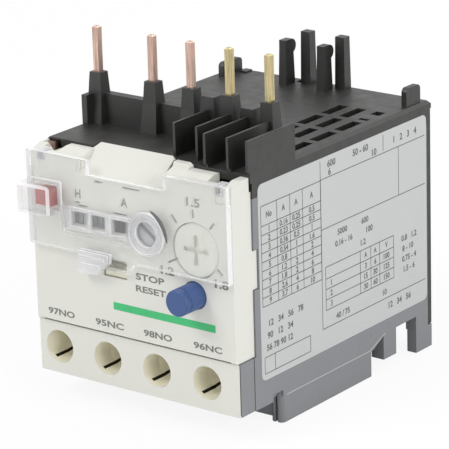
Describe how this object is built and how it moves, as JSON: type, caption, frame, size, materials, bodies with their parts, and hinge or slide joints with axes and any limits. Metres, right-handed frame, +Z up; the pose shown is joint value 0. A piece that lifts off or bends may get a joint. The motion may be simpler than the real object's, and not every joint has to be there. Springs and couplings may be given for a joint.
{
  "type": "thermal overload relay",
  "caption": "Plug-in thermal overload relay with square pins, insulating fins, hinged clear cover over a setting dial and selector, stop and test buttons and screw terminals.",
  "frame": {"origin": "middle of the footprint on the plane the relay stands on", "axes": "+X right seen from the front, +Y from the front cover to the rear wall, +Z up towards the plug-in pins"},
  "size_m": [0.045, 0.0652, 0.0652],
  "materials": {
    "grey_housing": "fine matt moulding",
    "black_cover": "fine matt moulding",
    "white_cover": "satin moulding",
    "white_dial": "satin moulding",
    "clear_plastic": "polished transparent",
    "blue_button": "gloss",
    "red_button": "gloss",
    "grey_control": "satin moulding",
    "yellow_flag": "matt",
    "inner_plastic": "matt moulding",
    "label_foil": "satin foil with printed lines",
    "copper": "bare copper, drawn",
    "brass": "bare brass, drawn",
    "plated_steel": "zinc plated",
    "bimetal": "rolled strip",
    "heater_ribbon": "oxidised ribbon",
    "silver_contact": "satin strip with silver tips",
    "spring_steel": "drawn wire"
  },
  "bodies": {
    "housing": {"base_housing": "grey_housing", "terminal_carrier": "grey_housing", "aux_terminal_block": "white_cover", "top_cover": "black_cover", "front_cover": "white_cover", "rating_label": "label_foil", "mechanism_plate": "inner_plastic", "reset_spring": "spring_steel", "test_spring": "spring_steel", "power_pin_1": "copper", "power_strip_1": "copper", "bimetal_strip_1": "bimetal", "heater_coil_1": "heater_ribbon", "power_terminal_1": "plated_steel", "power_pin_2": "copper", "power_strip_2": "copper", "bimetal_strip_2": "bimetal", "heater_coil_2": "heater_ribbon", "power_terminal_2": "plated_steel", "power_pin_3": "copper", "power_strip_3": "copper", "bimetal_strip_3": "bimetal", "heater_coil_3": "heater_ribbon", "power_terminal_3": "plated_steel", "control_pin_1": "brass", "control_pin_2": "brass", "power_terminal_screws": "plated_steel", "power_clamps": "plated_steel", "aux_terminal_screws": "plated_steel", "aux_clamps": "plated_steel", "contact_strip_97": "silver_contact", "contact_strip_95": "silver_contact", "contact_strip_98": "silver_contact", "contact_strip_96": "silver_contact"},
    "clear_cover": {"clear_cover": "clear_plastic"},
    "stop_reset_button": {"stop_reset_button": "blue_button"},
    "test_button": {"test_button": "red_button"},
    "adjustment_dial": {"adjustment_dial": "white_dial", "setting_cam": "inner_plastic"},
    "adjusting_lever": {"adjusting_lever": "inner_plastic"},
    "mode_selector_knob": {"mode_selector_knob": "grey_control"},
    "mode_slider": {"mode_slider": "grey_control"},
    "trip_flag": {"trip_flag": "yellow_flag"},
    "trip_slide": {"trip_slide": "inner_plastic"},
    "return_slide": {"return_slide": "inner_plastic"},
    "differential_lever": {"differential_lever": "inner_plastic"},
    "trip_lever": {"trip_lever": "inner_plastic", "compensating_bimetal": "bimetal"},
    "contact_carrier": {"contact_carrier": "inner_plastic", "no_contact_bridge": "silver_contact", "nc_contact_bridge": "silver_contact"}
  },
  "joints": [
    {"name": "clear_cover_hinge", "type": "hinge", "parent": "housing", "child": "clear_cover", "pos_m": [0, -0.02587, 0.046], "axis": [-1, 0, 0], "range_deg": [0, 90]},
    {"name": "stop_reset_push", "type": "slide", "parent": "housing", "child": "stop_reset_button", "axis": [0, 1, 0], "range_m": [0, 0.0025], "stiffness_N_per_m": 400, "springref_m": -0.001, "deforming": ["reset_spring"]},
    {"name": "test_push", "type": "slide", "parent": "housing", "child": "test_button", "axis": [0, 1, 0], "range_m": [0, 0.0015], "stiffness_N_per_m": 400, "springref_m": -0.001, "deforming": ["test_spring"]},
    {"name": "dial_turn", "type": "hinge", "parent": "housing", "child": "adjustment_dial", "pos_m": [0.0142, -0.02732, 0.03415], "axis": [0, 1, 0], "range_deg": [-120, 120]},
    {"name": "adjusting_lever_pivot", "type": "hinge", "parent": "housing", "child": "adjusting_lever", "pos_m": [0.002, -0.01663, 0.03845], "axis": [0, 1, 0], "range_deg": [-2.2, 2.2]},
    {"name": "knob_turn", "type": "hinge", "parent": "housing", "child": "mode_selector_knob", "pos_m": [0.0043, -0.02763, 0.0356], "axis": [0, -1, 0], "range_deg": [0, 92]},
    {"name": "mode_slide", "type": "slide", "parent": "housing", "child": "mode_slider", "axis": [1, 0, 0], "range_m": [0, 0.004]},
    {"name": "trip_slide_travel", "type": "slide", "parent": "housing", "child": "trip_slide", "axis": [1, 0, 0], "range_m": [0, 0.0012], "stiffness_N_per_m": 200, "springref_m": -0.001},
    {"name": "return_slide_travel", "type": "slide", "parent": "housing", "child": "return_slide", "axis": [1, 0, 0], "range_m": [0, 0.0012]},
    {"name": "differential_pivot", "type": "hinge", "parent": "trip_slide", "child": "differential_lever", "pos_m": [0.0164, 0.00302, 0.039], "axis": [0, 1, 0], "range_deg": [-1, 12]},
    {"name": "trip_lever_pivot", "type": "hinge", "parent": "housing", "child": "trip_lever", "pos_m": [-0.0085, -0.01208, 0.0284], "axis": [0, 1, 0], "range_deg": [0, 7]},
    {"name": "contact_travel", "type": "slide", "parent": "housing", "child": "contact_carrier", "axis": [0, 0, -1], "range_m": [0, 0.0009]},
    {"name": "trip_flag_rise", "type": "slide", "parent": "housing", "child": "trip_flag", "axis": [0, 0, 1], "range_m": [0, 0.0018]}
  ],
  "couplings": [
    {"joint": "adjusting_lever_pivot", "follows": "dial_turn", "ratio": 0.015655},
    {"joint": "knob_turn", "follows": "mode_slide", "rad_per_m": 400},
    {"joint": "return_slide_travel", "follows": "trip_slide_travel", "ratio": 0.6},
    {"joint": "differential_pivot", "follows": "trip_slide_travel", "rad_per_m": 153.85},
    {"joint": "trip_lever_pivot", "follows": "trip_slide_travel", "rad_per_m": 94.34},
    {"joint": "contact_travel", "follows": "trip_slide_travel", "ratio": 0.66667},
    {"joint": "trip_flag_rise", "follows": "trip_slide_travel", "ratio": 1.4167}
  ]
}
